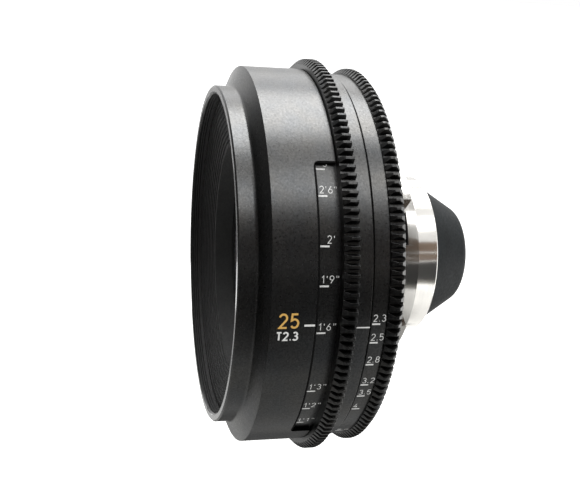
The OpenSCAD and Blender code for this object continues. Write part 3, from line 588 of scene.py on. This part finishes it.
class Marks:
    """Marks laid on a cylinder about the optical axis and gathered into one mesh."""

    LIFT = 0.02 * MM
    LAYER = 0.002 * MM
    LETTER_GAP = 0.18
    SHARPEST_MITRE = 0.45

    def __init__(self, radius):
        self.radius = radius + self.LIFT
        self.verts = []
        self.faces = []

    def lay(self, points, faces, y, phi, far_side, layer):
        """Lays flat points (along, up) with their origin at station y and angle phi in degrees."""
        turn = facing(far_side)[1]
        radius = self.radius + layer * self.LAYER
        base = len(self.verts)
        for along, up in points:
            angle = math.radians(phi) + turn * up / radius
            self.verts.append((radius * math.cos(angle), y + turn * along, radius * math.sin(angle)))
        self.faces += [tuple(base + i for i in face) for face in faces]

    def stroke(self, path, width, y, phi, far_side, layer):
        """A ribbon along a path, with square ends and mitred corners."""
        points = [Vector(p) for p in path]
        sides = []
        for i, point in enumerate(points):
            ahead = points[min(i + 1, len(points) - 1)] - point
            behind = point - points[max(i - 1, 0)]
            ahead = ahead.normalized() if ahead.length else behind.normalized()
            behind = behind.normalized() if behind.length else ahead
            normal = Vector((-(ahead + behind).y, (ahead + behind).x)).normalized()
            mitre = max(self.SHARPEST_MITRE, normal.dot(Vector((-ahead.y, ahead.x))))
            reach = width / 2 / mitre
            sides += [tuple(point + normal * reach), tuple(point - normal * reach)]
        faces = [(2 * i, 2 * i + 1, 2 * i + 3, 2 * i + 2) for i in range(len(points) - 1)]
        self.lay(sides, faces, y, phi, far_side, layer)

    def line(self, y0, y1, phi, width):
        """A line along the axis, centred on phi."""
        self.stroke([(0, 0), (y1 - y0, 0)], width, y0, phi, far_side=False, layer=0)

    def text(self, words, height, y, phi, far_side, width, weight):
        """Words from a lower left corner at station y and angle phi, spread over a width if one is given."""
        advance = sum(GLYPHS[c][0] for c in words) * height
        gap = self.LETTER_GAP * height
        if width and len(words) > 1:
            gap = (width - advance) / (len(words) - 1)
        along = 0.0
        for c in words:
            glyph_width, strokes = GLYPHS[c]
            for layer, path in enumerate(strokes):
                placed = [(along + x * height, up * height) for x, up in path]
                self.stroke(placed, weight * height, y, phi, far_side, layer)
            along += glyph_width * height + gap

    def finish(self, name, colour, body):
        dress(new_object(name, self.verts, self.faces), colour, body)


# Angles of the marks round each ring, in degrees
DISTANCES = [
    ("~", 89.0), ("20'", 82.2), ("10'", 75.3), ("6'", 66.2), ("4'", 53.4), ("3'", 41.6), ("2'6\"", 34.0),
    ("2'", 20.8), ("1'9\"", 10.5), ("1'6\"", -2.3), ("1'3\"", -22.0), ("1'2\"", -30.2), ("1'1\"", -39.0),
    ("1'", -48.3),
]
STOPS = [
    ("2.3", 0.0), ("2.5", -5.5), ("2.8", -12.6), ("3.2", -20.1), ("3.5", -24.9), ("4", -31.4),
    ("5.6", -50.6), ("8", -70.9), ("11", -89.0), ("16", -110.3),
]
WORDS_WIDTH = {1: None, 2: 2.0 * MM, 3: 3.5 * MM, 4: 4.8 * MM}
INSET = 0.65 * MM
SHORT_INSET = 2.2 * MM
FOCUS_INDEX = (-44.3 * MM, -41.3 * MM)
IRIS_INDEX = (-29.2 * MM, -25.4 * MM)
NEAR_WORDS = -51.9 * MM
FAR_WORDS = -45.6 * MM


def mark(marks, words, phi, y_line, length, height, inset, lift, far_side=False):
    """A scale mark: a line with its number just above it, to be read from the near or the far side."""
    side, turn = facing(far_side)
    y = y_line + length - inset if far_side else y_line + inset
    marks.line(y_line, y_line + length, phi + side, width=0.5 * MM)
    marks.text(words, height, y, phi + side + turn * math.degrees(lift / marks.radius), far_side,
               width=WORDS_WIDTH[len(words)], weight=0.105)


def focus_scale():
    drum = span("focus_ring")[0]
    marks = Marks(radius_at("focus_ring", drum))
    for words, phi in DISTANCES:
        inset = SHORT_INSET if len(words) < 3 else INSET
        for far_side in (False, True):
            mark(marks, words, phi, y_line=drum + 1.5 * MM, length=2.7 * MM, height=2.0 * MM, inset=inset,
                 lift=0.85 * MM, far_side=far_side)
    marks.finish("focus_scale_marks", WHITE, "focus")


def iris_scale():
    gear = span("iris_gear")[0]
    points = cad_points("iris_ring")
    before_gear = points[:, 1] < gear - 0.1 * MM
    marks = Marks(float(points[before_gear, 0].max()))
    for words, phi in STOPS:
        mark(marks, words, phi, y_line=gear - 4.2 * MM, length=2.35 * MM, height=1.95 * MM, inset=0.3 * MM,
             lift=0.8 * MM)
    marks.finish("iris_scale_marks", WHITE, "iris")


def body_marks():
    """Index lines, focal length and largest stop, with all but the iris index on both sides of the body."""
    body_r = radius_at("front_housing", span("front_housing")[1])
    white = Marks(body_r)
    amber = Marks(body_r)
    ring = Marks(outer_radius("index_ring"))
    for far_side in (False, True):
        side, turn = facing(far_side)
        start = FAR_WORDS if far_side else NEAR_WORDS
        white.line(*FOCUS_INDEX, phi=side + 0.5 * turn, width=0.6 * MM)
        white.text("T2.3", height=2.3 * MM, y=start + 0.15 * turn * MM, phi=side - 3.45 * turn,
                   far_side=far_side, width=5.8 * MM, weight=0.2)
        amber.text("25", height=3.85 * MM, y=start + 0.6 * turn * MM, phi=side,
                   far_side=far_side, width=5.3 * MM, weight=0.15)
    ring.line(*IRIS_INDEX, phi=-0.6, width=0.4 * MM)
    white.finish("focus_index_marks", WHITE, "housing")
    amber.finish("focal_length_mark", AMBER, "housing")
    ring.finish("iris_index_marks", WHITE, "housing")


focus_scale()
iris_scale()
body_marks()


# Studio: a white surround, a pale floor, three soft lamps, and flags and cards for the reflections

# The camera's place and axes. Bearings are measured from SIDE towards AHEAD, and elevations towards UP.
CAMERA_PLACE = Vector((0.2607, -0.1005, 0.0898))
UP = Vector((-0.32557, 0, 0.94552))
RIGHT = Vector((0.22086, 0.97234, 0.07605))
FORWARD = Vector((-0.91937, 0.23359, -0.31656))
SIDE = (Vector((1, 0, 0)) - UP * UP.x).normalized()
AHEAD = UP.cross(SIDE)
FLOOR_Z = -0.28
FLOOR_REACH = 30.0
CARD_LIFT = 0.004
FLAG_RADIUS = 0.45
FLAG_STEPS = 72
DIFFUSE_STRENGTH = 0.45
SEEN_STRENGTH = 1.0


def towards(bearing):
    """A level direction from the object, at a bearing in degrees."""
    b = math.radians(bearing)
    return SIDE * math.cos(b) + AHEAD * math.sin(b)


def seen_ray(tree):
    """1 for camera, glossy and transmission rays, 0 for diffuse light."""
    path = tree.nodes.new("ShaderNodeLightPath")
    total = path.outputs["Is Camera Ray"]
    for name in ("Is Glossy Ray", "Is Transmission Ray"):
        both = tree.nodes.new("ShaderNodeMath")
        both.operation = "MAXIMUM"
        tree.links.new(total, both.inputs[0])
        tree.links.new(path.outputs[name], both.inputs[1])
        total = both.outputs[0]
    return total


def world():
    result = bpy.data.worlds.new("studio")
    bpy.context.scene.world = result
    result.use_nodes = True
    tree = result.node_tree
    background = tree.nodes["Background"]
    background.inputs["Color"].default_value = (1, 1, 1, 1)
    strength = tree.nodes.new("ShaderNodeMapRange")
    strength.inputs["To Min"].default_value = DIFFUSE_STRENGTH
    strength.inputs["To Max"].default_value = SEEN_STRENGTH
    tree.links.new(seen_ray(tree), strength.inputs["Value"])
    tree.links.new(strength.outputs["Result"], background.inputs["Strength"])


def floor():
    """A pale floor that looks white from a distance and darker below the object."""
    reach = FLOOR_REACH
    obj = new_object("floor", [
        (-reach, -reach, FLOOR_Z), (reach, -reach, FLOOR_Z),
        (reach, reach, FLOOR_Z), (-reach, reach, FLOOR_Z),
    ], [(0, 1, 2, 3)])
    finish, tree, shader, place = material("pale_floor", (0.85, 0.85, 0.84), roughness=0.9)
    glow = tree.nodes.new("ShaderNodeMapRange")
    distance = tree.nodes.new("ShaderNodeVectorMath")
    distance.operation = "LENGTH"
    tree.links.new(place, distance.inputs[0])
    tree.links.new(distance.outputs["Value"], glow.inputs["Value"])
    for socket, value in (("From Min", 0.28), ("From Max", 0.7), ("To Min", 0.1), ("To Max", 1.0)):
        glow.inputs[socket].default_value = value
    both = tree.nodes.new("ShaderNodeMath")
    both.operation = "MULTIPLY"
    tree.links.new(glow.outputs["Result"], both.inputs[0])
    tree.links.new(seen_ray(tree), both.inputs[1])
    shader.inputs["Emission Color"].default_value = (1, 1, 1, 1)
    tree.links.new(both.outputs[0], shader.inputs["Emission Strength"])
    obj.data.materials.append(finish)


def only_reflected(obj, colour):
    """Gives a flag or card its dull finish and hides it from the camera, diffuse light and shadows."""
    finish, tree, shader, place = material(obj.name, colour, roughness=0.9)
    patches = noise(tree, place, size=0.2)
    ramp(tree, patches, scaled(colour, 0.9), colour, shader.inputs["Base Color"])
    obj.data.materials.append(finish)
    obj.visible_camera = False
    obj.visible_diffuse = False
    obj.visible_shadow = False


def flag(name, low, high, first, last, colour):
    """A band round the object, between two elevations and two bearings."""
    verts = []
    for i in range(FLAG_STEPS + 1):
        around = towards(first + (last - first) * i / FLAG_STEPS)
        verts += [FLAG_RADIUS * (around + UP * math.tan(math.radians(e))) for e in (low, high)]
    faces = [(2 * i, 2 * i + 1, 2 * i + 3, 2 * i + 2) for i in range(FLAG_STEPS)]
    only_reflected(new_object(name, verts, faces), colour)


def card(name, x0, x1, low, high, colour):
    """A card on the floor from x0 to x1. Low and high are its least and greatest y, at x0 and at x1."""
    z = FLOOR_Z + CARD_LIFT
    corners = [(x0, low[0], z), (x1, low[1], z), (x1, high[1], z), (x0, high[0], z)]
    only_reflected(new_object(name, corners, [(0, 1, 2, 3)]), colour)


def lamp(name, elevation, bearing, distance, width, height, energy):
    """A soft area lamp that faces the object from an elevation and a bearing."""
    e = math.radians(elevation)
    way = towards(bearing) * math.cos(e) + UP * math.sin(e)
    light = bpy.data.lights.new(name, "AREA")
    light.shape = "RECTANGLE"
    light.size = width
    light.size_y = height
    light.energy = energy
    obj = bpy.data.objects.new(name, light)
    bpy.context.scene.collection.objects.link(obj)
    obj.location = way * distance
    obj.rotation_euler = way.to_track_quat("Z", "Y").to_euler()
    obj.visible_camera = False


def camera():
    data = bpy.data.cameras.new("camera")
    data.lens = 51.63
    data.sensor_width = 36
    data.shift_y = 0.00559
    obj = bpy.data.objects.new("camera", data)
    bpy.context.scene.collection.objects.link(obj)
    place = Matrix((RIGHT, UP, -FORWARD)).transposed().to_4x4()
    place.translation = CAMERA_PLACE
    obj.matrix_world = place
    bpy.context.scene.camera = obj


world()
floor()

# Elevations from and to, bearings from and to, colour
flag("flag_low", -52, -6, -75, 20, (0.075, 0.075, 0.075))
flag("flag_foot", -40, -35, 20, 62, (0.3, 0.29, 0.27))
flag("flag_mount", -35, -11, 20, 62, (0.06, 0.06, 0.06))
flag("flag_side", 0, 60, 62, 92, (0.05, 0.05, 0.05))
flag("flag_middle", -9.4, 0.2, 20, 62, (0.2, 0.14, 0.1))
flag("flag_high", 1.8, 14.7, 20, 62, (0.2, 0.14, 0.1))
flag("flag_body", -4.4, 27, -75, 20, (0.05, 0.04, 0.035))
flag("flag_front", -60, 30, -142, -76, (0.06, 0.06, 0.06))
flag("flag_front_high", 30, 68, -118, -64, (0.05, 0.05, 0.05))
flag("flag_rim", -1, 9, 160, 205, (0.3, 0.3, 0.3))
flag("flag_rim_high", 9, 18, 160, 205, (0.55, 0.55, 0.55))
flag("flag_rim_low", -13, -6, 160, 205, (0.5, 0.5, 0.5))

# x from and to, least y and greatest y at both, colour
card("card_far", 0.27, 0.6, (-0.45, -0.45), (0.125, 0.225), (0.15, 0.15, 0.15))
card("card_far_back", 0.27, 0.6, (0.2, 0.305), (0.5, 0.5), (0.15, 0.15, 0.15))
card("card_near", -0.06, 0.27, (-0.45, -0.45), (0.1, 0.125), (0.45, 0.45, 0.44))
card("card_near_back", -0.35, 0.27, (0.2, 0.2), (0.5, 0.5), (0.45, 0.45, 0.44))
card("card_under", -0.35, -0.06, (-0.06, -0.06), (0.112, 0.112), (0.1, 0.1, 0.1))
card("card_front", -0.35, -0.06, (-0.45, -0.45), (-0.06, -0.06), (0.55, 0.55, 0.54))
card("card_rim", -0.6, -0.35, (-0.45, -0.45), (0.1, 0.1), (0.7, 0.7, 0.69))

lamp("softbox_top", elevation=88, bearing=0, distance=0.7, width=0.6, height=0.46, energy=6.5)
lamp("softbox_back", elevation=124, bearing=0, distance=0.7, width=0.6, height=0.24, energy=0.8)
lamp("softbox_side", elevation=38, bearing=20, distance=0.9, width=1.1, height=0.26, energy=2.6)
camera()

settings = bpy.context.scene.view_settings
settings.view_transform = "Standard"
